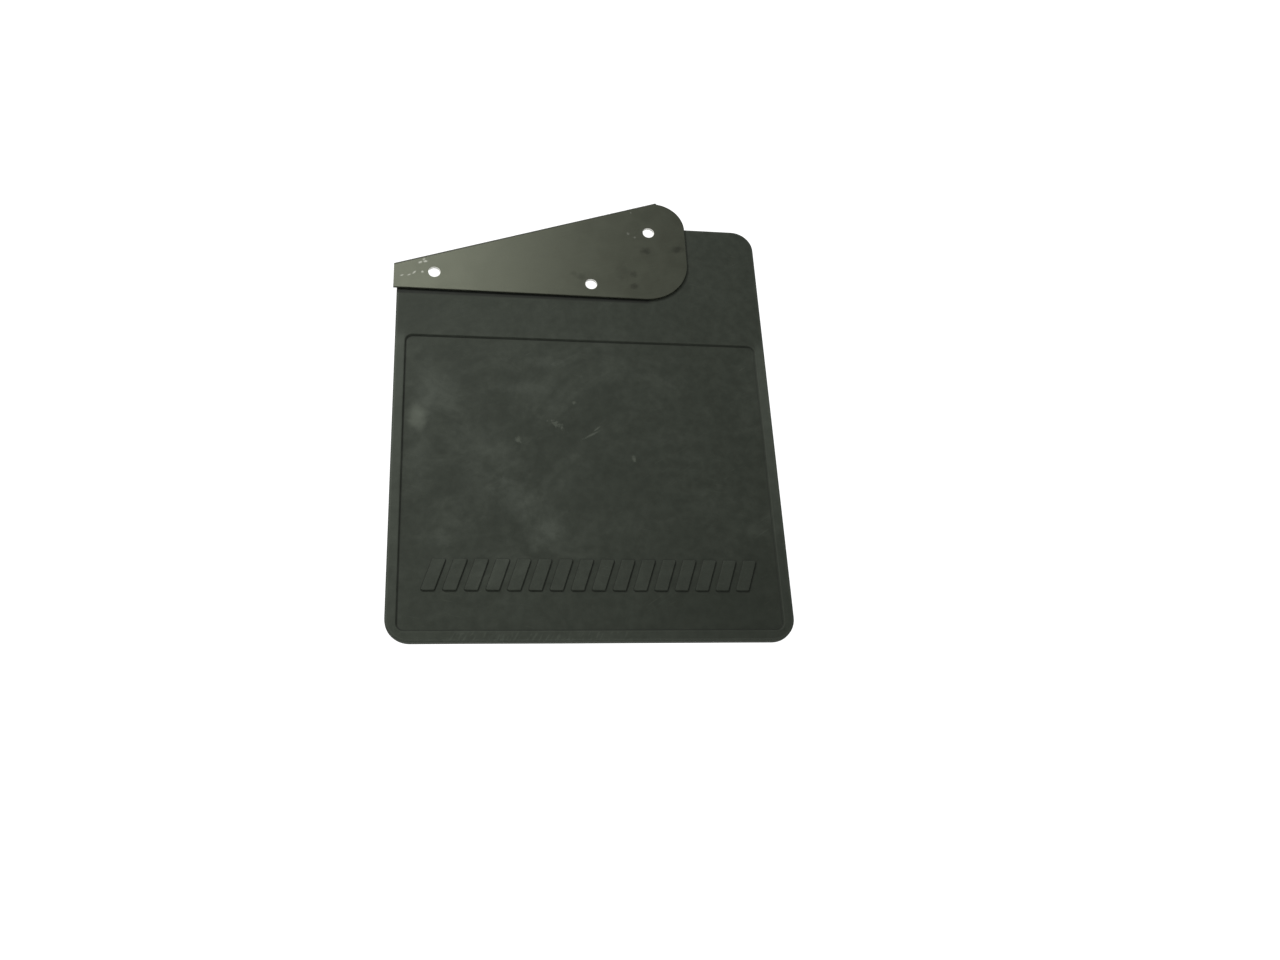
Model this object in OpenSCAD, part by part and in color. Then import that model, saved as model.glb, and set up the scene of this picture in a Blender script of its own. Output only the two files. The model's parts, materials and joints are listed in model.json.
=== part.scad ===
// Mud flap: a moulded rubber flap that hangs from a bent steel bracket.
// The origin is the centre of the lower bolt hole, on the face where the steel
// meets the rubber. +X is to the right seen from the front, +Z is up, and the
// front of the flap faces -Y.

/* [Rubber flap] */
// Width of the flap
flap_w = 330; // [280:5:420]
// Height of the flap
flap_h = 406; // [380:2:620]
// Thickness of the rubber
flap_t = 6; // [5:0.5:10]
// Radius of the flap's outer corners
corner_r = 20; // [8:1:30]
// From the flap's left edge to the lower bolt hole
hole_from_left = 173.5; // [165:0.5:190]
// From the flap's top edge down to the lower bolt hole
hole_below_top = 68; // [66:1:72]

/* [Sunk panel] */
// How deep the panel is sunk in the front face
panel_depth = 1.5; // [0.8:0.1:2]
// Width of the rim left of the panel
rim_left = 9; // [6:0.5:14]
// Width of the rim right of the panel
rim_right = 9.3; // [6:0.1:14]
// Height of the rim below the panel
rim_bottom = 9.3; // [8:0.1:16]
// From the lower bolt hole down to the panel's top edge
panel_drop = 59; // [56:1:75]
// Radius of the panel's corners
panel_r = 6.5; // [4:0.5:14]

/* [Raised bars] */
// Number of slanted bars across the panel
bar_count = 16; // [6:1:18]
// Width of each bar
bar_w = 11; // [5:0.5:12]
// Height of the row of bars
bar_h = 27; // [15:1:35]
// How far each bar's top leans to the right
bar_lean = 9; // [0:1:12]
// Height of the bars above the sunk panel
bar_rise = 1.2; // [0.6:0.1:1.5]
// From the flap's side edges to the row of bars
bar_side_gap = 27; // [22:1:40]
// From the flap's bottom edge to the row of bars
bar_bottom_gap = 43; // [30:1:70]

/* [Steel bracket] */
// Thickness of the steel
steel_t = 2; // [1.5:0.1:3]
// From the lower bolt hole to the bracket's narrow end
narrow_end = 176.5; // [174:0.5:180]
// From the lower bolt hole to the bracket's wide end
wide_end = 91; // [90:0.5:100]
// Height of the narrow end
narrow_h = 26.5; // [23:0.1:28]
// From the lower bolt hole down to the lower edge at the narrow end
edge_drop = 11.6; // [10:0.1:12]
// How much further down the lower edge is at the wide end
edge_fall = 1.9; // [0:0.1:3]
// Slope of the folded top edge in degrees
slope = 18.75; // [17:0.05:20]
// Radius of the upper corner of the wide end
upper_r = 28.5; // [20:0.5:30]
// Radius of the lower corner of the wide end
lower_r = 41; // [30:1:44]
// Depth of the folded lip, measured from the front face
lip_depth = 8; // [6:0.5:12]
// Outer radius of the fold
fold_r = 3; // [2.5:0.1:4]
// How far the lip runs on past the start of the upper corner
lip_overrun = 12.4; // [8:0.2:14]

/* [Bolt holes] */
// Diameter of the three bolt holes
bolt_d = 10; // [6:0.5:12]
// Left bolt hole, across and up from the lower one
left_hole = [-141, 5.8];
// Upper bolt hole, across and up from the lower one
upper_hole = [56.2, 60.4];
// Diameter of the clearance around each bolt in the rubber
rubber_hole_d = 21; // [14:1:21]

/* [Bending line] */
// From the lower bolt hole down to the line that the rubber bends about
bend_drop = 33; // [30:1:40]
// Gap between the fixed and the swinging rubber at the bending line
bend_gap = 0.4; // [0.3:0.1:0.6]
// Half of the angle of the ridge that each half of the rubber ends in
ridge_half_angle = 50; // [46:1:54]

/* [Hidden] */

$fn = 96;
eps = 0.01;      // overrun of a cutter past the face that it cuts
joint_lap = 0.5; // lap of solids that are one piece of steel
lip_gap = 1;     // between the rubber's cut edge and the inside of the lip

flap_x0 = -hole_from_left;
flap_x1 = flap_x0 + flap_w;
flap_z1 = hole_below_top;
flap_z0 = flap_z1 - flap_h;
bend_z = -bend_drop;
ridge_h = flap_t / 2 / tan(ridge_half_angle);

edge_z0 = -edge_drop;
edge_z1 = edge_z0 - edge_fall;
narrow_top = [-narrow_end, edge_z0 + narrow_h];

// A point on the sloping top edge, a given distance along it and above it
function on_slope(along, above) = narrow_top
    + along * [cos(slope), sin(slope)] + above * [-sin(slope), cos(slope)];
function slope_z(x) = narrow_top[1] + (x - narrow_top[0]) * tan(slope);

upper_x = wide_end - upper_r;
upper_c = [upper_x, slope_z(upper_x) - upper_r / cos(slope)];
lower_c = [wide_end - lower_r, edge_z1 + lower_r];
upper_touch = upper_c + upper_r * [-sin(slope), cos(slope)];
lip_len = norm(upper_touch - narrow_top) + lip_overrun;

// Extrudes a front outline from depth y0 to y1
module slab(y0, y1) {
    translate([0, y1, 0]) rotate([90, 0, 0]) linear_extrude(y1 - y0) children();
}

// Drills along Y through depth y0 to y1
module drill(at, d, y0, y1) {
    translate([at[0], y1 + eps, at[1]]) rotate([90, 0, 0])
        cylinder(d = d, h = y1 - y0 + 2 * eps);
}

module rounded_rect(x0, z0, x1, z1, r) {
    translate([x0 + r, z0]) square([x1 - x0 - 2 * r, z1 - z0]);
    translate([x0, z0 + r]) square([x1 - x0, z1 - z0 - 2 * r]);
    for (x = [x0 + r, x1 - r], z = [z0 + r, z1 - r]) translate([x, z]) circle(r);
}

// Cuts one side of a ridge along the bending line, on the half above it or below
module ridge_cut(face_y, side) {
    mid_y = flap_t / 2;
    out_y = face_y + (face_y - mid_y);
    z0 = bend_z + side * bend_gap / 2;
    translate([flap_x0 - 1, 0, 0]) rotate([90, 0, 90]) linear_extrude(flap_w + 2)
        polygon([[mid_y, z0], [out_y, z0 + side * 2 * ridge_h],
                 [out_y, z0 - side], [mid_y, z0 - side]]);
}

// ---- steel bracket ----

module bracket_outline() {
    difference() {
        union() {
            polygon([[-narrow_end, edge_z0], [lower_c[0], edge_z1],
                     [wide_end, lower_c[1]], [wide_end, upper_c[1]],
                     upper_touch, narrow_top]);
            translate(lower_c) circle(lower_r);
            translate(upper_c) circle(upper_r);
        }
        // the strip that the fold takes up
        polygon([on_slope(-fold_r, -fold_r), on_slope(lip_len, -fold_r),
                 on_slope(lip_len, fold_r), on_slope(-fold_r, fold_r)]);
    }
}

// Section of the folded lip: X is the depth from the front face, Y the height
module lip_section() {
    intersection() {
        translate([fold_r, -fold_r]) difference() {
            circle(fold_r);
            circle(fold_r - steel_t);
        }
        translate([0, -fold_r]) square(fold_r);
    }
    translate([fold_r, -steel_t]) square([lip_depth - fold_r, steel_t]);
    translate([0, -fold_r - joint_lap]) square([steel_t, joint_lap]);
}

module folded_lip() {
    intersection() {
        translate([narrow_top[0], -steel_t, narrow_top[1]]) rotate([0, -slope, 0])
            translate([-fold_r, 0, 0]) rotate([90, 0, 90])
            linear_extrude(lip_len + fold_r) lip_section();
        translate([-narrow_end, -lip_depth, -lip_depth])
            cube([narrow_end + wide_end, 3 * lip_depth, narrow_end]);
    }
}

module steel_bracket() {
    color([0.36, 0.38, 0.34]) difference() {
        union() {
            slab(-steel_t, 0) bracket_outline();
            folded_lip();
        }
        for (at = [[0, 0], left_hole, upper_hole]) drill(at, bolt_d, -steel_t, 0);
    }
}

// ---- rubber flap ----

// The cut edge runs under the folded lip, and the rest is a rounded rectangle
module header_outline() {
    edge = -steel_t - lip_gap;
    difference() {
        union() {
            translate([flap_x0, bend_z]) square([flap_w - corner_r, flap_z1 - bend_z]);
            translate([flap_x0, bend_z]) square([flap_w, flap_z1 - bend_z - corner_r]);
            translate([flap_x1 - corner_r, flap_z1 - corner_r]) circle(corner_r);
        }
        polygon([on_slope(-flap_t, edge), on_slope(lip_len, edge),
                 on_slope(lip_len, flap_h), on_slope(-flap_t, flap_h)]);
        // open slot over the upper bolt
        translate([upper_hole[0] - rubber_hole_d / 2, upper_hole[1]])
            square([rubber_hole_d, flap_z1]);
    }
}

module flap_header() {
    color([0.2, 0.21, 0.19]) difference() {
        slab(0, flap_t) header_outline();
        for (at = [[0, 0], left_hole, upper_hole]) drill(at, rubber_hole_d, 0, flap_t);
        ridge_cut(0, 1);
        ridge_cut(flap_t, 1);
    }
}

module flap_panel() {
    row_x0 = flap_x0 + bar_side_gap;
    row_x1 = flap_x1 - bar_side_gap;
    pitch = (row_x1 - row_x0 - bar_w - bar_lean) / (bar_count - 1);
    bar_z = flap_z0 + bar_bottom_gap;
    color([0.2, 0.21, 0.19]) {
        difference() {
            slab(0, flap_t) {
                translate([flap_x0 + corner_r, flap_z0])
                    square([flap_w - 2 * corner_r, bend_z - flap_z0]);
                translate([flap_x0, flap_z0 + corner_r])
                    square([flap_w, bend_z - flap_z0 - corner_r]);
                for (x = [flap_x0 + corner_r, flap_x1 - corner_r])
                    translate([x, flap_z0 + corner_r]) circle(corner_r);
            }
            slab(-1, panel_depth) rounded_rect(flap_x0 + rim_left, flap_z0 + rim_bottom,
                flap_x1 - rim_right, -panel_drop, panel_r);
            ridge_cut(0, -1);
            ridge_cut(flap_t, -1);
        }
        slab(panel_depth - bar_rise, panel_depth + joint_lap)
            for (i = [0 : bar_count - 1]) translate([row_x0 + i * pitch, bar_z])
                polygon([[0, 0], [bar_w, 0], [bar_w + bar_lean, bar_h], [bar_lean, bar_h]]);
    }
}

steel_bracket();
flap_header();
flap_panel();
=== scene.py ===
"""The looks of a rubber mud flap that hangs from a folded steel bracket.

Outlines are worked out in millimetres, seen from the front: X to the right, Z up.
Depth grows to the back. Meshes are in metres, in the frame of the CAD model.
"""

import json
import math

import bmesh
import bpy
import numpy as np
from mathutils import Matrix, Vector, noise
from mathutils.geometry import delaunay_2d_cdt


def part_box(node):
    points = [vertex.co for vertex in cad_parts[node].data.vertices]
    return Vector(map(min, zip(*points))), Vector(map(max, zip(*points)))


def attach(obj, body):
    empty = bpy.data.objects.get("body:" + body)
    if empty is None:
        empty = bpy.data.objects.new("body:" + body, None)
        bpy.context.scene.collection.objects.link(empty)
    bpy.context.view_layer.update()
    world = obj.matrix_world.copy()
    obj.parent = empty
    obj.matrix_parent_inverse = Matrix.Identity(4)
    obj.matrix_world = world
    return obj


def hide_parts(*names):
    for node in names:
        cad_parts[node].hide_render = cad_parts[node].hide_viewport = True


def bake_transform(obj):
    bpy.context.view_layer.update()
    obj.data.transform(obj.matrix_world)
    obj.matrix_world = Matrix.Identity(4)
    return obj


MM = 0.001

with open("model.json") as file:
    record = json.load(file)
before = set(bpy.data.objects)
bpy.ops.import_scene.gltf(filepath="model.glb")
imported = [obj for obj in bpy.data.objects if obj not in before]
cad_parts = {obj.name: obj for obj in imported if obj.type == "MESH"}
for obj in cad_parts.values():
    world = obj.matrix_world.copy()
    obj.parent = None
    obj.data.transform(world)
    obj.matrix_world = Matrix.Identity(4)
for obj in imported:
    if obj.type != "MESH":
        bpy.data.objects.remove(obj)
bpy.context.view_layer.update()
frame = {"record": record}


# ---- outlines and fills ----


def line(a, b, step):
    """Points from a up to, but without, b."""
    a, b = np.array(a, float), np.array(b, float)
    count = max(1, round(np.linalg.norm(b - a) / step))
    return [tuple(a + (b - a) * i / count) for i in range(count)]


def arc(centre, radius, start, end, turn=5.0):
    """Points of an arc from start to end, in degrees, without its last point."""
    count = max(2, math.ceil(abs(end - start) / turn))
    angles = [math.radians(start + (end - start) * i / count) for i in range(count)]
    return [
        (centre[0] + radius * math.cos(a), centre[1] + radius * math.sin(a))
        for a in angles
    ]


def rounded(corners, step):
    """A closed outline through corners (x, z, radius), filleted, straights cut at step."""
    pieces = []
    count = len(corners)
    for i, (x, z, radius) in enumerate(corners):
        p = np.array([x, z], float)
        into = p - np.array(corners[i - 1][:2], float)
        out = np.array(corners[(i + 1) % count][:2], float) - p
        into, out = into / np.linalg.norm(into), out / np.linalg.norm(out)
        cross = into[0] * out[1] - into[1] * out[0]
        bend = math.atan2(cross, float(into @ out))
        reach = radius * math.tan(abs(bend) / 2)
        side = math.copysign(1, bend)
        centre = p - into * reach + side * radius * np.array([-into[1], into[0]])
        first = math.degrees(math.atan2(*(p - into * reach - centre)[::-1]))
        pieces.append((p - into * reach, p + out * reach, centre, radius, first,
                       math.degrees(bend)))
    outline = []
    for i, (_, b, centre, radius, first, bend) in enumerate(pieces):
        outline += arc(centre, radius, first, first + bend, 7.5)
        outline += line(b, pieces[(i + 1) % count][0], step)
    return np.array(outline)


def inset(outline, distance):
    """The outline moved to its left by distance, with mitred corners."""
    before = outline - np.roll(outline, 1, axis=0)
    after = np.roll(outline, -1, axis=0) - outline
    left = [np.stack([-e[:, 1], e[:, 0]], 1) for e in (before, after)]
    left = [n / np.linalg.norm(n, axis=1)[:, None] for n in left]
    mitre = left[0] + left[1]
    mitre /= (mitre * left[0]).sum(1)[:, None]
    return outline + mitre * distance


def edge_clearance(points, loops):
    """For each point, whether the loops enclose it, and how near their edge is."""
    odd = np.zeros(len(points), bool)
    nearest = np.full(len(points), 1e9)
    for loop in loops:
        for a, b in zip(loop, np.roll(loop, -1, axis=0)):
            rising = (a[1] > points[:, 1]) != (b[1] > points[:, 1])
            if rising.any():
                cut = a[0] + (points[:, 1] - a[1]) / (b[1] - a[1]) * (b[0] - a[0])
                odd ^= rising & (points[:, 0] < cut)
            t = np.clip((points - a) @ (b - a) / ((b - a) @ (b - a)), 0, 1)
            gap = np.linalg.norm(points - a - t[:, None] * (b - a), axis=1)
            nearest = np.minimum(nearest, gap)
    return odd, nearest


def loop_edges(loops):
    """The edges around each loop, as pairs of point numbers."""
    edges, first = [], 0
    for loop in loops:
        count = len(loop)
        edges += [(first + i, first + (i + 1) % count) for i in range(count)]
        first += count
    return edges


def grid(low, high, step):
    """A grid of points between two corners; step is one size or one for each side."""
    sx, sz = (step, step) if np.isscalar(step) else step
    xs = np.arange(low[0], high[0] + sx / 2, sx)
    zs = np.arange(low[1], high[1] + sz / 2, sz)
    return np.stack(np.meshgrid(xs, zs), -1).reshape(-1, 2)


class Shell:
    """A closed mesh built from rings along outlines and fills between them."""

    def __init__(self, name, place):
        self.name, self.place = name, place
        self.mesh = bmesh.new()
        self.flat, self.wear_and_painted_light = [], []

    def points(self, outline, depth, wear_and_painted_light=0.0):
        made = []
        for x, z in outline:
            made.append(self.mesh.verts.new(self.place(x, depth, z)))
            self.flat.append((x, depth, z))
            self.wear_and_painted_light.append(wear_and_painted_light)
        return made

    def wall(self, outline, profile):
        """Rings at each (inset, depth, wear) of profile. Returns the first and the last."""
        rings = []
        for distance, depth, wear_and_painted_light in profile:
            moved = inset(outline, distance)
            rings.append((moved, self.points(moved, depth, wear_and_painted_light)))
        for (_, a), (_, b) in zip(rings, rings[1:]):
            for i in range(len(a)):
                self.mesh.faces.new((a[i - 1], a[i], b[i], b[i - 1]))
        return rings[0], rings[-1]

    def fill(self, rings, depth, *grids):
        """Fills between rings; each grid is its points and how near an edge they go."""
        loops = [loop for loop, _ in rings]
        corners = [v for _, ring in rings for v in ring]
        flat = np.concatenate(loops)
        for points, margin in grids:
            enclosed, gap = edge_clearance(points, loops)
            extra = points[enclosed & (gap > margin)]
            corners += self.points(extra, depth)
            flat = np.concatenate([flat, extra])
        made = delaunay_2d_cdt([Vector(p) for p in flat], loop_edges(loops), [], 0, 1e-7)
        triangles = np.array(made[2])
        where = np.array([tuple(p) for p in made[0]])[triangles]
        enclosed, _ = edge_clearance(where.mean(1), loops)
        a, b = where[:, 1] - where[:, 0], where[:, 2] - where[:, 0]
        sliver = abs(a[:, 0] * b[:, 1] - a[:, 1] * b[:, 0]) < 0.0005
        for triangle in triangles[enclosed & ~sliver]:
            self.mesh.faces.new([corners[made[3][i][0]] for i in triangle])

    def finish(self, material):
        bmesh.ops.recalc_face_normals(self.mesh, faces=self.mesh.faces)
        data = bpy.data.meshes.new(self.name)
        self.mesh.to_mesh(data)
        self.mesh.free()
        data.attributes.new("place", "FLOAT_VECTOR", "POINT").data.foreach_set(
            "vector", np.array(self.flat, np.float32).ravel())
        data.attributes.new("wear_and_painted_light", "FLOAT", "POINT").data.foreach_set(
            "value", np.array(self.wear_and_painted_light, np.float32))
        data.shade_smooth()
        data.materials.append(material)
        made = bpy.data.objects.new(self.name, data)
        bpy.context.scene.collection.objects.link(made)
        return made


def round_edge(thickness, front, back, support, turns=5, wear_and_painted_light=1.0):
    """The profile of an edge that is rounded at the front and at the back."""
    profile = [(front + support, 0.0, 0.0)]
    for i in range(turns + 1):
        a = math.radians(90 * i / turns)
        profile.append((front * (1 - math.sin(a)), front * (1 - math.cos(a)), wear_and_painted_light))
    for i in range(turns + 1):
        a = math.radians(90 * i / turns)
        profile.append((back * (1 - math.cos(a)), thickness - back * (1 - math.sin(a)),
                        wear_and_painted_light))
    profile.append((back + support, thickness, 0.0))
    return profile


def ramp_edge(start, end, width, support, wears_and_shades, turns=6):
    """The profile of a moulded step from depth start to depth end across width.

    The last argument is the value where the step starts, where it ends, and past its end:
    above
    0 is a rubbed edge, and below 0 is painted shade in a corner.
    """
    profile = [(-width / 2 - support, start, 0.0)]
    for i in range(turns + 1):
        t = i / turns
        smooth = t * t * (3 - 2 * t)
        profile.append((width * (t - 0.5), start + (end - start) * smooth,
                        wears_and_shades[0] + (wears_and_shades[1] - wears_and_shades[0]) * t))
    profile.append((width / 2 + support, end, wears_and_shades[2]))
    return profile


# ---- the rubber flap ----

PANEL_DEPTH = 1.5
RIM_LEFT, RIM_RIGHT, RIM_BOTTOM = 9.0, 9.3, 9.3
PANEL_DROP, PANEL_R = 59.0, 6.5
CORNER_R = 20.0
BAR_COUNT, BAR_W, BAR_H, BAR_LEAN, BAR_RISE = 16, 11.0, 27.0, 9.0, 1.2
BAR_SIDE_GAP, BAR_BOTTOM_GAP, BAR_R = 27.0, 43.0, 1.3
SLOT_W = 21.0
NET_STEP = 4.5  # between the inner points of the flap's flat faces
SLOPE = math.radians(18.75)
NARROW_H, EDGE_DROP, EDGE_FALL = 26.5, 11.6, 1.9
STEEL_T, FOLD_R = 2.0, 3.0
LIP_GAP = 1.0

header_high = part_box("flap_header")[1] / MM
panel_low, panel_high = (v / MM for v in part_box("flap_panel"))
bracket_low, bracket_high = (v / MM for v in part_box("steel_bracket"))
holes = {
    m["name"]: (m["pos_m"][0] / MM, m["pos_m"][2] / MM)
    for m in frame["record"]["mounts"]
    if m["kind"] == "bore"
}
narrow_top = np.array([bracket_low.x, NARROW_H - EDGE_DROP])


def slope_z(x, below=0.0):
    """Height of the bracket's sloping edge at x, or of a line below it."""
    rise = (x - narrow_top[0]) * math.tan(SLOPE)
    return narrow_top[1] + rise - below / math.cos(SLOPE)


def flap_outline():
    """The flap's outline, with the corner cut along the bracket and the bolt slot."""
    x0, x1 = panel_low.x, panel_high.x
    z0, z1 = panel_low.z, header_high.z
    below = STEEL_T + LIP_GAP
    cut_top = narrow_top[0] + (z1 - slope_z(narrow_top[0], below)) / math.tan(SLOPE)
    slot_x, slot_z = holes["upper_bolt_hole"]
    half = SLOT_W / 2
    return rounded(
        [
            (x0, z0, CORNER_R),
            (x1, z0, CORNER_R),
            (x1, z1, CORNER_R),
            (slot_x + half, z1, 4.0),
            (slot_x + half, slot_z - half, half - 0.05),
            (slot_x - half, slot_z - half, half - 0.05),
            (slot_x - half, z1, 4.0),
            (cut_top, z1, 4.0),
            (x0, slope_z(x0, below), 4.0),
        ],
        4.0,
    )


def panel_outline():
    """The outline of the sunk panel."""
    x0, x1 = panel_low.x + RIM_LEFT, panel_high.x - RIM_RIGHT
    z0, z1 = panel_low.z + RIM_BOTTOM, -PANEL_DROP
    return rounded([(x0, z0, PANEL_R), (x1, z0, PANEL_R), (x1, z1, PANEL_R),
                    (x0, z1, PANEL_R)], 4.0)


def bar_outlines():
    """The outline of each raised bar."""
    first = panel_low.x + BAR_SIDE_GAP
    last = panel_high.x - BAR_SIDE_GAP - BAR_W - BAR_LEAN
    z = panel_low.z + BAR_BOTTOM_GAP
    for x in np.linspace(first, last, BAR_COUNT):
        yield rounded([(x, z, BAR_R), (x + BAR_W, z, BAR_R),
                       (x + BAR_W + BAR_LEAN, z + BAR_H, BAR_R),
                       (x + BAR_LEAN, z + BAR_H, BAR_R)], 3.0)


def hole_outline(centre, radius):
    """A hole's outline, clockwise, so that its left is the material."""
    return np.array(arc(centre, radius, 360, 0, 6))


def rubber_place(x, depth, z):
    """Where a point of the flap goes: flat, but for the faint waves of a rubber sheet."""
    below = min(1.0, max(0.0, (-20 - z) / 40))
    wave = noise.noise(Vector((x / 70, 3.1, z / 90))) * 0.2 * below
    return Vector((x, depth + wave, z)) * MM


def make_flap(material):
    shell = Shell("rubber_flap", rubber_place)
    thickness = panel_high.y - panel_low.y
    front, back = shell.wall(flap_outline(), round_edge(thickness, 1.6, 1.2, 0.8))
    fronts, backs = [front], [back]
    for name in ("lower_bolt_hole", "left_bolt_hole"):
        edge = hole_outline(holes[name], SLOT_W / 2)
        a, b = shell.wall(edge, round_edge(thickness, 0.6, 0.6, 0.6, 3))
        fronts.append(a)
        backs.append(b)
    # the panel's foot gets a value below 0: painted shade in the corner of the sunk panel
    panel_edge = ramp_edge(0, PANEL_DEPTH, 1.5, 0.8, (0.6, -0.8, 0))
    rim, floor = shell.wall(panel_outline(), panel_edge)
    fronts.append(rim)
    floors = [floor]
    bar_top = PANEL_DEPTH - BAR_RISE
    for outline in bar_outlines():
        # each bar's base gets a value below 0: painted shade in the corner around the bar
        profile = ramp_edge(PANEL_DEPTH, bar_top, 0.9, 0.3, (-1.0, 0.4, 0.4))
        base, top = shell.wall(outline, profile)
        floors.append(base)
        shell.fill([top], bar_top)
    net = grid((panel_low.x, panel_low.z), (panel_high.x, header_high.z), NET_STEP)
    shell.fill(fronts, 0.0, (net, 1.5))
    shell.fill(floors, PANEL_DEPTH, (net, 1.5))
    shell.fill(backs, thickness, (net, 1.5))
    return shell.finish(material)


# ---- the steel bracket ----

LOWER_R, UPPER_R = 41.0, 28.5
LIP_OVERRUN = 12.4
BOLT_R = 5.0
BEND_LENGTH = math.pi / 2 * (FOLD_R - STEEL_T / 2)


def to_sheet(x, z):
    """A point of the front view as distance along the slope and height above it."""
    dx, dz = x - narrow_top[0], z - narrow_top[1]
    return (dx * math.cos(SLOPE) + dz * math.sin(SLOPE),
            dz * math.cos(SLOPE) - dx * math.sin(SLOPE))


def fold(along, depth, height):
    """Where a point of the flat sheet goes once the lip is folded to the back."""
    turned = (height + FOLD_R) / (FOLD_R - STEEL_T / 2)
    if turned > 0:
        a = min(turned, math.pi / 2)
        past = max(0.0, height + FOLD_R - BEND_LENGTH)
        arm = FOLD_R - depth
        height = -FOLD_R + arm * math.sin(a)
        depth = FOLD_R - arm * math.cos(a) + past
    x = narrow_top[0] + along * math.cos(SLOPE) - height * math.sin(SLOPE)
    z = narrow_top[1] + along * math.sin(SLOPE) + height * math.cos(SLOPE)
    return Vector((x, depth + bracket_low.y, z)) * MM


def bracket_outline():
    """The bracket's blank before it is folded, along and above its sloping edge."""
    tilt = math.degrees(SLOPE)
    x0, x1 = bracket_low.x, bracket_high.x
    low_left = to_sheet(x0, -EDGE_DROP)
    low_centre = to_sheet(x1 - LOWER_R, -EDGE_DROP - EDGE_FALL + LOWER_R)
    upper_x = x1 - UPPER_R
    upper_z = slope_z(upper_x, UPPER_R)
    upper_centre = to_sheet(upper_x, upper_z)
    lip_end = upper_centre[0] + LIP_OVERRUN
    reach = math.degrees(math.asin(LIP_OVERRUN / UPPER_R))
    bend_end = BEND_LENGTH - FOLD_R
    lip_top = bend_end + (bracket_high.y - bracket_low.y) - FOLD_R
    low_tangent = to_sheet(x1 - LOWER_R, -EDGE_DROP - EDGE_FALL)
    right = [to_sheet(x1, -EDGE_DROP - EDGE_FALL + LOWER_R), to_sheet(x1, upper_z)]
    tip = (lip_end, -UPPER_R + UPPER_R * math.cos(math.radians(reach)))
    fold_left = (-FOLD_R * math.tan(SLOPE), -FOLD_R)
    outline = line(low_left, low_tangent, 4)
    outline += arc(low_centre, LOWER_R, -90 - tilt, -tilt, 3)
    outline += line(right[0], right[1], 4)
    outline += arc(upper_centre, UPPER_R, -tilt, 90 - reach, 3)
    outline += line(tip, (lip_end, bend_end), 0.4)
    outline += line((lip_end, bend_end), (lip_end, lip_top), 1.2)
    outline += line((lip_end, lip_top), (0, lip_top), 4)
    outline += line((0, lip_top), (0, bend_end), 1.2)
    outline += line((0, bend_end), fold_left, 0.4)
    outline += line(fold_left, low_left, 4)
    return np.array(outline), lip_end, lip_top


def make_bracket(material):
    outline, lip_end, lip_top = bracket_outline()
    shell = Shell("bracket_plate", fold)
    front, back = shell.wall(outline, round_edge(STEEL_T, 0.35, 0.35, 0.35, 3, 0.4))
    fronts, backs = [front], [back]
    for x, z in holes.values():
        edge = hole_outline(to_sheet(x, z), BOLT_R)
        # the hole walls get the full wear value: bare steel from bolts, and painted light on
        # the walls
        a, b = shell.wall(edge, round_edge(STEEL_T, 0.3, 0.3, 0.4, 3))
        fronts.append(a)
        backs.append(b)
    low = outline.min(0)
    plate = grid(low, (lip_end + UPPER_R, -FOLD_R - 3), 6)
    bend = grid((3, -FOLD_R), (lip_end, -FOLD_R + BEND_LENGTH), (3, BEND_LENGTH / 8))
    lip = grid((3, -FOLD_R + BEND_LENGTH + 1.5), (lip_end, lip_top), (3, 1.5))
    for rings, depth in ((fronts, 0.0), (backs, STEEL_T)):
        shell.fill(rings, depth, (plate, 1.5), (bend, 0.6), (lip, 0.6))
    return shell.finish(material)


# ---- materials ----

# Dark for finger marks on the paint, and for painted shade in the rubber's corners and the
# painted shadow under the bracket.
DIRT_AND_SHADE = (0.003, 0.003, 0.003, 1)
RUBBER_DARK = (0.0130, 0.0155, 0.0116, 1)
RUBBER_LIGHT = (0.0195, 0.0228, 0.0176, 1)
# painted shade: the colour that darkens the rubber towards the lower right
RUBBER_SHADED_LOWER_RIGHT = (0.006, 0.0075, 0.0055, 1)
RUBBER_DUST = (0.070, 0.078, 0.064, 1)
RUBBER_SMEAR = (0.09, 0.1, 0.084, 1)
RUBBER_PALE_RIM = (0.075, 0.085, 0.07, 1)
RUBBER_SCUFF = (0.14, 0.155, 0.125, 1)
RUBBER_RUBBED = (0.07, 0.078, 0.065, 1)
PAINT_DARK = (0.0143, 0.0157, 0.0118, 1)
PAINT_LIGHT = (0.0186, 0.0207, 0.0156, 1)
PAINT_STREAK = (0.035, 0.037, 0.029, 1)
# painted shade along the bracket's fold
PAINT_FOLD_SHADE = (0.002, 0.002, 0.002, 1)
PAINT_RUBBED = (0.06, 0.06, 0.052, 1)
CHIPPED_STEEL = (0.62, 0.62, 0.58, 1)
# bare steel on the bolt-hole walls: wear from bolts, and painted light that makes the walls
# look bright
WORN_STEEL_AND_LIGHT = (0.68, 0.68, 0.65, 1)

# the sockets of a Mix node that mixes colours
MIX_SHARE, MIX_A, MIX_B, MIX_RESULT = 0, 6, 7, 2


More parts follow.
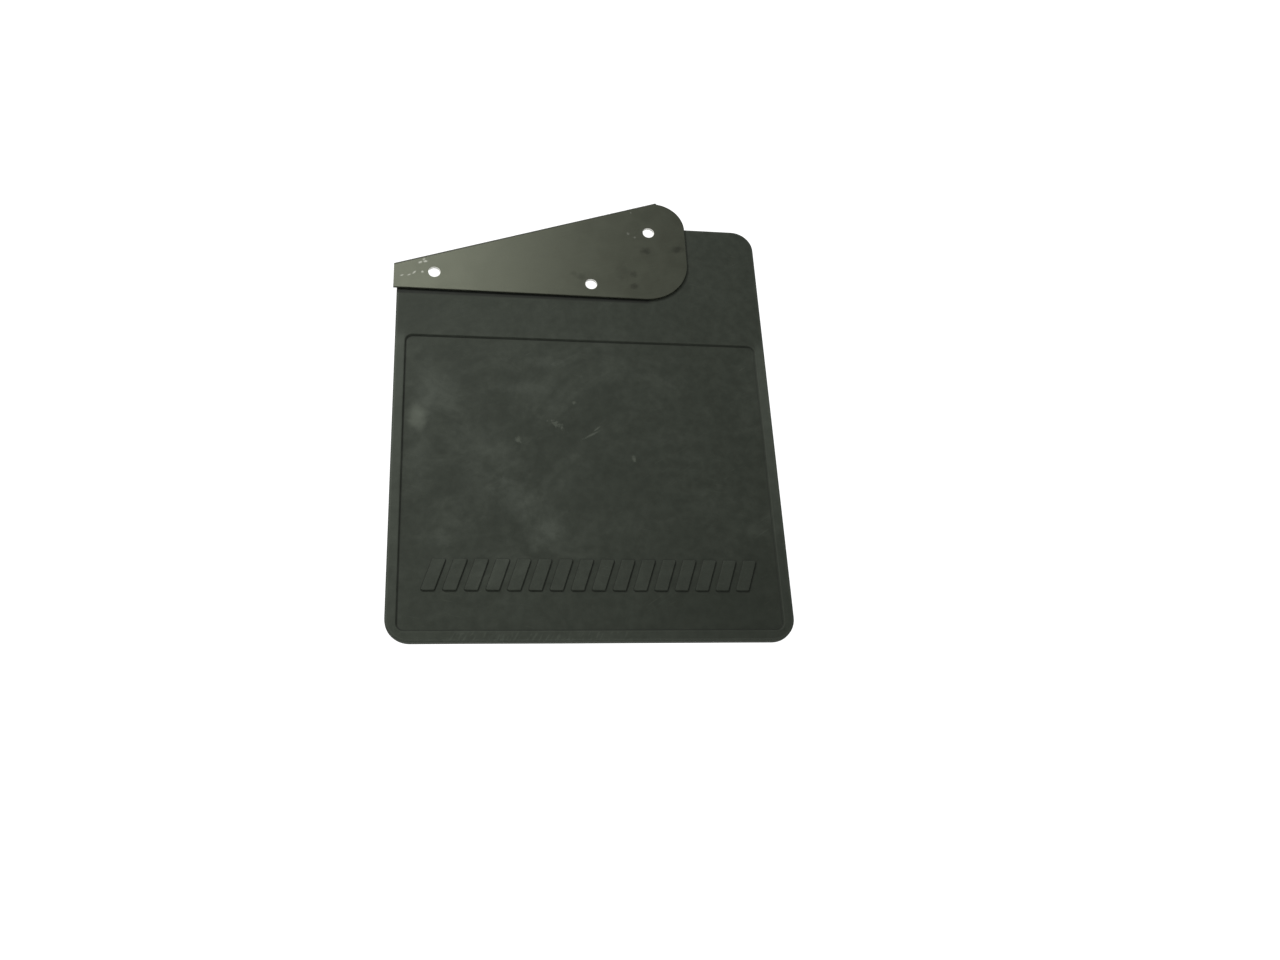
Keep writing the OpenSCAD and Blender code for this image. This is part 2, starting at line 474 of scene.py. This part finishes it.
class Shader:
    """A material's node tree, with short calls for the nodes that it needs."""

    def __init__(self, name):
        self.material = bpy.data.materials.new(name)
        self.material.use_nodes = True
        self.tree = self.material.node_tree
        self.surface = self.tree.nodes["Principled BSDF"]

    def put(self, socket, value):
        if isinstance(value, bpy.types.NodeSocket):
            self.tree.links.new(value, socket)
        else:
            socket.default_value = value

    def node(self, kind, inputs=(), **settings):
        made = self.tree.nodes.new(kind)
        for name, value in settings.items():
            setattr(made, name, value)
        for name, value in dict(inputs).items():
            self.put(made.inputs[name], value)
        return made

    def attribute(self, name, output):
        made = self.node("ShaderNodeAttribute", attribute_name=name)
        return made.outputs[output]

    def move(self, vector, scale=(1, 1, 1), turn=0.0, shift=(0, 0, 0)):
        """The place moved, turned in the plane of the sheet, then scaled."""
        turned = self.node("ShaderNodeMapping", {
            "Vector": vector, "Rotation": (0, math.radians(turn), 0),
            "Location": shift})
        made = self.node("ShaderNodeMapping", {
            "Vector": turned.outputs[0], "Scale": scale})
        return made.outputs[0]

    def noise(self, vector, scale, detail=2.0, rough=0.5, distort=0.0):
        made = self.node("ShaderNodeTexNoise", {
            "Vector": vector, "Scale": scale, "Detail": detail, "Roughness": rough,
            "Distortion": distort})
        return made.outputs["Fac"]

    def step(self, value, low, high, start=0.0, end=1.0):
        """value from low to high, eased to run from start to end."""
        made = self.node("ShaderNodeMapRange", {
            "Value": value, "From Min": low, "From Max": high, "To Min": start,
            "To Max": end}, interpolation_type="SMOOTHSTEP")
        return made.outputs[0]

    def maths(self, operation, a, b=0.0):
        made = self.node("ShaderNodeMath", operation=operation)
        self.put(made.inputs[0], a)
        self.put(made.inputs[1], b)
        return made.outputs[0]

    def multiply(self, *values):
        result = values[0]
        for value in values[1:]:
            result = self.maths("MULTIPLY", result, value)
        return result

    def mix(self, share, a, b):
        """Colour a turning to colour b by share."""
        made = self.node("ShaderNodeMix", data_type="RGBA")
        self.put(made.inputs[MIX_SHARE], share)
        self.put(made.inputs[MIX_A], a)
        self.put(made.inputs[MIX_B], b)
        return made.outputs[MIX_RESULT]

    def axes(self, vector):
        made = self.node("ShaderNodeSeparateXYZ", {"Vector": vector})
        return made.outputs

    def spot(self, vector, x, z, wide, high, turn=0.0, ragged=0.35, detail=3.0):
        """A soft, ragged patch: 1 at its middle, 0 past its edge."""
        moved = self.node("ShaderNodeVectorMath", operation="SUBTRACT")
        self.put(moved.inputs[0], vector)
        moved.inputs[1].default_value = (x, 0, z)
        turned = self.move(moved.outputs[0], (1 / wide, 0, 1 / high), turn)
        length = self.node("ShaderNodeVectorMath", operation="LENGTH")
        self.put(length.inputs[0], turned)
        broken = self.noise(vector, 1.4 / min(wide, high), detail, 0.6, 0.5)
        edge = self.maths("ADD", length.outputs["Value"],
                          self.multiply(self.maths("SUBTRACT", broken, 0.5),
                                        4 * ragged))
        return self.step(edge, 1.0, 0.1)

    def spots(self, vector, *marks):
        """The strongest of several patches, each given as for spot."""
        strongest = self.spot(vector, *marks[0])
        for mark in marks[1:]:
            strongest = self.maths("MAXIMUM", strongest, self.spot(vector, *mark))
        return strongest

    def bump(self, height, strength, distance, normal=None):
        made = self.node("ShaderNodeBump", {
            "Height": height, "Strength": strength, "Distance": distance})
        if normal is not None:
            self.put(made.inputs["Normal"], normal)
        return made.outputs[0]


# In the functions below, s is the material's Shader, place is the point on the
# unbent sheet in millimetres, and x, y and z are its axes. The mesh stores one value for
# wear and painted light: above 0 it is a rubbed edge, below 0 it is painted shade in a
# corner, and its 1 on the bracket's bolt-hole walls is also painted light.


def scratches(s, place, turn, length, width, low, high):
    """Fine straight scratches along one direction, in a few places: 1 on a scratch."""
    thin = s.move(place, (1 / length, 1, 1 / width), turn, (turn, 0, turn))
    line_noise = s.noise(thin, 1.0, 2, 0.5, 0.15)
    where = s.noise(s.move(place, shift=(turn, 5, 0)), 0.02, 3, 0.6)
    return s.multiply(s.step(line_noise, low, high), s.step(where, 0.48, 0.65))


def rubber_dust(s, place, x, z):
    """Dust on the rubber: marbled, most to the left and in the panel, little above it."""
    drift = s.move(place, (0.9, 9, 1.2), 30)
    clouds = s.noise(drift, 0.014, 4, 0.6, 1.3)
    wisps = s.noise(s.move(place, (0.75, 5, 1.3), 15, (90, 0, 30)), 0.04, 4, 0.62, 0.9)
    cloudy = s.maths("ADD", s.step(clouds, 0.42, 0.72, 0.0, 0.7),
                     s.step(wisps, 0.45, 0.75, 0.0, 0.4))
    leftward = s.step(x, 130, -170, 0.45, 1.0)
    lower = s.step(z, -35, -85, 0.45, 1.0)
    fading = s.step(z, -230, -300, 1.0, 0.55)
    settled = s.multiply(s.step(z, -150, -330, 0.0, 0.16), s.step(x, 140, -20, 0.2, 1.0))
    clean = s.multiply(s.spot(place, 22, -205, 85, 62, 15, 0.25, 3), 0.75)
    cloudy = s.multiply(cloudy, s.maths("SUBTRACT", 1.0, clean))
    return s.maths("ADD", s.multiply(cloudy, leftward, lower, fading), settled)


def rubber_smears(s, place):
    """Broad, soft smears rubbed over the panel."""
    broad = s.maths("ADD", s.spot(place, -137, -106, 30, 38, 20, 0.2, 2),
                    s.spot(place, -147, -126, 15, 28, -15, 0.25, 2))
    low = s.spots(place, (-70, -210, 22, 28, 35, 0.5, 3), (-46, -243, 26, 16, 40, 0.5, 3),
                  (-130, -250, 10, 10, 0, 0.3, 2))
    side = s.spots(place, (-151, -170, 16, 34, 0, 0.4, 3), (-103, -160, 34, 30, 10, 0.4, 3),
                   (-100, -200, 24, 22, -30, 0.4, 3))
    streak = s.spots(place, (-61, -109, 42, 9, -2, 0.3, 3), (-44, -82, 22, 7, 0, 0.3, 3))
    smears = s.maths("ADD", s.multiply(broad, 0.3), s.multiply(low, 0.34))
    smears = s.maths("ADD", smears, s.multiply(side, 0.22))
    return s.maths("ADD", smears, s.multiply(streak, 0.25))


def rubber_marks(s, place):
    """Small pale scuffs and a few fine scratches."""
    scuff = s.spot(place, -153, -140, 12, 17, 0, 0.15, 2)
    small = s.spots(place, (-5, -153, 12, 1.5, 30, 0.3), (0, -147, 6, 1.1, 40, 0.3),
                    (-34, -144, 9, 3, -35, 0.9), (-67.5, -159, 3.4, 4.2, 10, 0.4),
                    (-19, -122, 2.4, 2.4, 0, 0.3), (31, -175, 2.4, 4.5, 10, 0.3))
    fine = s.maths("MAXIMUM", scratches(s, place, 33, 26, 0.6, 0.66, 0.78),
                   scratches(s, place, -12, 34, 0.6, 0.67, 0.78))
    small = s.maths("MAXIMUM", s.multiply(small, 0.4), s.multiply(fine, 0.2))
    return s.maths("MAXIMUM", s.multiply(scuff, 0.5), small)


def rubber_rim(s, place, x, z):
    """1 on the raised rim beside and below the panel, and 1 on the rim's slashes."""
    left = s.step(x, panel_low.x + RIM_LEFT, panel_low.x + RIM_LEFT - 2)
    right = s.step(x, panel_high.x - RIM_RIGHT, panel_high.x - RIM_RIGHT + 2)
    bottom = s.step(z, panel_low.z + RIM_BOTTOM, panel_low.z + RIM_BOTTOM - 2)
    rim = s.maths("MAXIMUM", s.maths("MAXIMUM", left, right), bottom)
    slashes = s.noise(s.move(place, (1 / 11, 1, 1 / 2.2), 62), 1.0, 2, 0.5)
    reach = s.multiply(s.step(x, -138, -112), s.step(x, 50, 0))
    slashes = s.multiply(s.step(slashes, 0.5, 0.66), bottom, reach)
    return s.multiply(rim, s.step(z, -52, -66)), slashes


def rubber_dusted(s, axes, mottle, dust):
    """The base colour, with dust, and painted shade that darkens it towards the lower right.
    """
    x, _, z = axes
    colour = s.mix(s.step(mottle, 0.3, 0.7), RUBBER_DARK, RUBBER_LIGHT)
    colour = s.mix(s.multiply(dust, 0.5), colour, RUBBER_DUST)
    # painted shade towards the lower right
    lower_right_shade = s.multiply(s.step(x, -40, 140), s.step(z, -200, -320), 0.4)
    return s.mix(lower_right_shade, colour, RUBBER_SHADED_LOWER_RIGHT)


def rubber_marked(s, colour, place, axes, patchy, front, marks):
    """The colour with smears, paler rims and scuffs on the front face."""
    x, _, z = axes
    smears = s.multiply(rubber_smears(s, place), patchy, front)
    colour = s.mix(s.multiply(smears, 0.6), colour, RUBBER_SMEAR)
    rim, slashes = rubber_rim(s, place, x, z)
    pale = s.maths("ADD", s.multiply(rim, s.step(z, -280, -130, 0.08, 0.26)),
                   s.multiply(slashes, 0.22))
    colour = s.mix(s.multiply(pale, front), colour, RUBBER_PALE_RIM)
    return s.mix(s.multiply(marks, 0.6), colour, RUBBER_SCUFF)


def rubber_edges(s, colour, axes, wear_and_painted_light, grain, front):
    """Moulded edges rubbed paler, painted shade in corners, and a painted shadow under the
    bracket's edge.
    """
    x, _, z = axes
    rubbed = s.multiply(s.maths("MAXIMUM", wear_and_painted_light, 0.0),
                        s.step(grain, 0.3, 0.75, 0.3, 1.0), 0.35)
    colour = s.mix(rubbed, colour, RUBBER_RUBBED)
    # painted shade: corners darkened where the stored value is below 0
    colour = s.mix(s.step(wear_and_painted_light, -0.1, -0.9, 0.0, 0.75), colour, DIRT_AND_SHADE)
    # painted shadow: a dark strip on the rubber along the bracket's lower edge
    under = s.maths("ADD", z, s.maths("MULTIPLY", x, 0.003))
    bracket_shadow = s.multiply(s.step(under, -18.0, -15.8), s.step(x, 58, 50), front, 0.9)
    return s.mix(bracket_shadow, colour, DIRT_AND_SHADE)


def rubber_material():
    """Matt moulded black rubber: fine grain, marbled dust, scuffs and paler rims."""
    s = Shader("black_rubber")
    place = s.attribute("place", "Vector")
    wear_and_painted_light = s.attribute("wear_and_painted_light", "Fac")
    axes = s.axes(place)[0:3]
    mottle = s.noise(place, 0.12, 4, 0.6)
    grain = s.noise(place, 1.6, 3, 0.6)
    fine = s.noise(place, 5.0, 2, 0.6)
    patchy = s.step(mottle, 0.2, 0.75, 0.6, 1.0)
    dust = s.multiply(rubber_dust(s, place, axes[0], axes[2]), patchy)
    front = s.step(axes[1], 3.5, 2.0)
    marks = s.multiply(rubber_marks(s, place), front)
    colour = rubber_dusted(s, axes, mottle, dust)
    colour = rubber_marked(s, colour, place, axes, patchy, front, marks)
    colour = rubber_edges(s, colour, axes, wear_and_painted_light, grain, front)
    s.put(s.surface.inputs["Base Color"], colour)
    rough = s.step(mottle, 0.25, 0.75, 0.64, 0.72)
    rough = s.maths("ADD", rough, s.multiply(dust, 0.12))
    s.put(s.surface.inputs["Roughness"], rough)
    s.surface.inputs["Specular IOR Level"].default_value = 0.24
    s.surface.inputs["Specular Tint"].default_value = (0.92, 1.0, 0.85, 1)
    height = s.maths("ADD", s.multiply(grain, 0.6), s.multiply(fine, 0.4))
    normal = s.bump(height, 0.35, 0.00022)
    normal = s.bump(marks, 0.2, 0.0001, normal)
    normal = s.bump(s.noise(place, 0.045, 3, 0.5), 0.35, 0.0016, normal)
    s.put(s.surface.inputs["Normal"], normal)
    return s.material


def paint_touched(s, place):
    """Finger marks, which leave the paint darker and glossier."""
    touched = s.spots(place, (225, -50, 7, 6, 0, 0.3, 2), (254, -56.5, 9, 6, 5, 0.3, 2),
                      (156, -61, 8, 6, -30, 0.3, 2), (151, -55.5, 6, 4, -30, 0.3, 2),
                      (204, -71.5, 6, 6, 0, 0.3, 2), (200, -84, 6, 4.5, 0, 0.3, 2))
    broad = s.spot(place, 196, -67.5, 10, 16, 0, 0.4, 2)
    return s.maths("MAXIMUM", touched, s.multiply(broad, 0.55))


def paint_chips(s, place):
    """Chips down to bright steel, by the left hole and, fainter, by the upper one."""
    chips = s.spots(place, (21.9, -6.8, 2.6, 1.5, 10, 0.3), (26.6, -7.0, 2.4, 1.8, -20, 0.3),
                    (26.0, -4.4, 1.7, 1.1, 0, 0.3), (20.7, -17.0, 1.6, 1.5, 0, 0.3),
                    (13.6, -15.6, 3.0, 1.1, 30, 0.3), (8.4, -16.8, 2.6, 0.8, 10, 0.3),
                    (2.2, -15.6, 2.4, 0.9, 5, 0.3))
    faint = s.spots(place, (227.4, -5.5, 1.2, 1.4), (216, -27.4, 1.6, 2.4),
                    (220.6, -33.0, 2.0, 1.5))
    return s.maths("MAXIMUM", s.multiply(chips, 0.42), s.multiply(faint, 0.09))


def paint_worn(s, colour, z, wear_and_painted_light, peel):
    """Painted shade along the fold, paint rubbed thin on the cut edges, and bolt-hole walls
    of bare steel that are also painted light.
    """
    # painted shade: a dark band along the fold
    fold_shade = s.multiply(s.step(z, -3.0, -0.8), 0.9)
    colour = s.mix(fold_shade, colour, PAINT_FOLD_SHADE)
    rubbed = s.multiply(wear_and_painted_light, s.step(peel, 0.4, 0.75, 0.0, 1.0), 0.25)
    colour = s.mix(rubbed, colour, PAINT_RUBBED)
    # bolt-hole walls: worn to bare steel, and painted light that makes them bright
    worn_and_lit = s.multiply(s.step(wear_and_painted_light, 0.5, 0.95), s.step(peel, 0.2, 0.6, 0.6, 1.0))
    return s.mix(worn_and_lit, colour, WORN_STEEL_AND_LIGHT)


def paint_material():
    """Thin satin black paint on steel: orange peel, chips, finger marks, painted shade along
    the fold.
    """
    s = Shader("black_paint")
    place = s.attribute("place", "Vector")
    wear_and_painted_light = s.attribute("wear_and_painted_light", "Fac")
    above_slope = s.axes(place)[2]
    mottle = s.noise(place, 0.05, 5, 0.6, 0.3)
    peel = s.noise(place, 0.9, 2, 0.5)
    fine = s.noise(place, 4.0, 3, 0.6)
    rolled = s.noise(s.move(place, (0.02, 1, 1.1)), 1.0, 3, 0.6)
    touched = paint_touched(s, place)
    chips = paint_chips(s, place)
    colour = s.mix(s.step(mottle, 0.3, 0.7), PAINT_DARK, PAINT_LIGHT)
    colour = s.mix(s.step(rolled, 0.4, 0.8, 0.0, 0.15), colour, PAINT_STREAK)
    colour = s.mix(s.multiply(touched, 0.68), colour, DIRT_AND_SHADE)
    colour = s.mix(chips, colour, CHIPPED_STEEL)
    colour = paint_worn(s, colour, above_slope, wear_and_painted_light, peel)
    s.put(s.surface.inputs["Base Color"], colour)
    rough = s.step(mottle, 0.25, 0.75, 0.36, 0.41)
    rough = s.maths("SUBTRACT", rough, s.multiply(touched, 0.08))
    s.put(s.surface.inputs["Roughness"], rough)
    s.surface.inputs["Specular IOR Level"].default_value = 0.5
    s.surface.inputs["Specular Tint"].default_value = (0.94, 1.0, 0.74, 1)
    normal = s.bump(peel, 0.25, 0.00006)
    normal = s.bump(fine, 0.2, 0.00004, normal)
    normal = s.bump(s.maths("SUBTRACT", 1.0, chips), 0.5, 0.00015, normal)
    s.put(s.surface.inputs["Normal"], normal)
    return s.material


def plain_material(name, colour, rough):
    """A flat finish for the floor."""
    s = Shader(name)
    s.put(s.surface.inputs["Base Color"], (*colour, 1))
    s.put(s.surface.inputs["Roughness"], rough)
    return s.material


# ---- floor, lights and camera ----


def make_floor(material, height):
    half = 2.0
    data = bpy.data.meshes.new("floor")
    data.from_pydata([(-half, -half, height), (half, -half, height),
                      (half, half, height), (-half, half, height)], [], [(0, 1, 2, 3)])
    data.materials.append(material)
    made = bpy.data.objects.new("floor", data)
    bpy.context.scene.collection.objects.link(made)


def area_light(name, spot, target, power, size):
    data = bpy.data.lights.new(name, "AREA")
    data.energy = power
    data.shape = "DISK"
    data.size = size
    made = bpy.data.objects.new(name, data)
    made.location = spot
    aim = Vector(target) - Vector(spot)
    made.rotation_mode = "QUATERNION"
    made.rotation_quaternion = aim.to_track_quat("-Z", "Y")
    bpy.context.scene.collection.objects.link(made)


def make_world(shown, light):
    """A white surround that is brighter to look at than it is as a light."""
    world = bpy.data.worlds.new("surround")
    bpy.context.scene.world = world
    world.use_nodes = True
    tree = world.node_tree
    back = tree.nodes["Background"]
    back.inputs["Color"].default_value = (1, 1, 1, 1)
    path = tree.nodes.new("ShaderNodeLightPath")
    level = tree.nodes.new("ShaderNodeMapRange")
    level.inputs["To Min"].default_value = light
    level.inputs["To Max"].default_value = shown
    tree.links.new(path.outputs["Is Camera Ray"], level.inputs["Value"])
    tree.links.new(level.outputs[0], back.inputs["Strength"])


def make_camera(spot, azimuth, elevation, roll, lens):
    data = bpy.data.cameras.new("camera")
    data.lens = lens
    data.sensor_width = 36.0
    data.clip_start, data.clip_end = 0.05, 50.0
    made = bpy.data.objects.new("camera", data)
    turn = (Matrix.Rotation(math.radians(azimuth), 4, "Z")
            @ Matrix.Rotation(math.radians(90 + elevation), 4, "X")
            @ Matrix.Rotation(math.radians(roll), 4, "Z"))
    made.matrix_world = Matrix.Translation(spot) @ turn
    bpy.context.scene.collection.objects.link(made)
    bpy.context.scene.camera = made


def main():
    flap = make_flap(rubber_material())
    bracket = make_bracket(paint_material())

    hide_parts("flap_header", "flap_panel")
    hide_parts("steel_bracket")
    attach(bracket, "bracket")
    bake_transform(flap)

    make_floor(plain_material("pale_floor", (0.8, 0.8, 0.79), 0.7), -0.75)
    make_world(1.15, 0.4)
    area_light("key", (-0.95, -1.05, 1.1), (0, 0, -0.1), 25.5, 0.3)
    area_light("sheen", (-0.25, -1.0, 0.7), (0, 0, -0.1), 5.4, 0.5)
    area_light("fill", (1.4, -1.6, 0.2), (0, 0, -0.1), 1.0, 1.6)
    area_light("back", (0.3, 1.8, 1.0), (0, 0, -0.1), 40, 1.5)
    make_camera((-0.1303, -0.9105, -0.6285), -10.273, 25.067, -3.393, 33.88)
    bpy.context.scene.view_settings.view_transform = "Standard"


main()
